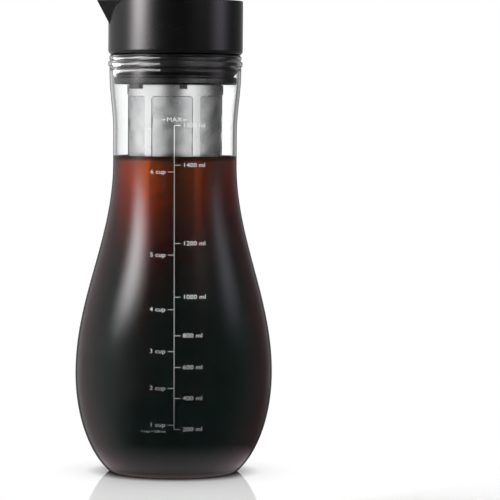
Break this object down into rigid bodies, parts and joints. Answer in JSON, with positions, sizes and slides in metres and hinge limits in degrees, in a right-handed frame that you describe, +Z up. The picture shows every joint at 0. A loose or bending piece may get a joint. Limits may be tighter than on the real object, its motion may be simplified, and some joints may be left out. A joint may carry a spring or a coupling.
{
  "type": "cold brew coffee maker",
  "caption": "Pear-shaped glass carafe with a push-in pouring lid, a beaked spout, a lift-out cap and a long steel mesh filter hung under the lid.",
  "frame": {"origin": "centre of the base, on the surface that the carafe stands on", "axes": "+Z up along the axis of the carafe; the front, with the printed scale, faces -Y; the beak points to -X, turned 12.6 degrees to the front"},
  "size_m": [0.118, 0.118, 0.2824],
  "materials": {
    "clear_glass": "clear blown borosilicate glass, fire-polished rim",
    "black_plastic": "black moulded polypropylene with a fine satin grain",
    "black_silicone": "black silicone, smooth satin",
    "steel_sheet": "satin stainless sheet, rolled and spot welded",
    "steel_mesh": "fine stainless mesh"
  },
  "bodies": {
    "carafe": {"carafe": "clear_glass"},
    "lid": {"pour_collar": "black_plastic", "neck_plug": "black_plastic", "lip_seal": "black_silicone", "deck_gasket": "black_silicone"},
    "cap": {"top_cap": "black_plastic", "cap_stopper": "black_plastic", "cap_seal": "black_silicone"},
    "filter": {"filter_band": "steel_sheet", "filter_sleeve": "steel_sheet", "filter_mesh": "steel_mesh", "filter_cup": "steel_sheet"}
  },
  "joints": [
    {"name": "lid_lift", "type": "slide", "parent": "carafe", "child": "lid", "axis": [0, 0, 1], "range_m": [0, 0.21]},
    {"name": "cap_lift", "type": "slide", "parent": "lid", "child": "cap", "axis": [0, 0, 1], "range_m": [0, 0.032]},
    {"name": "filter_twist", "type": "hinge", "parent": "lid", "child": "filter", "pos_m": [0, 0, 0.229], "axis": [0, 0, 1], "range_deg": [0, 12]}
  ]
}
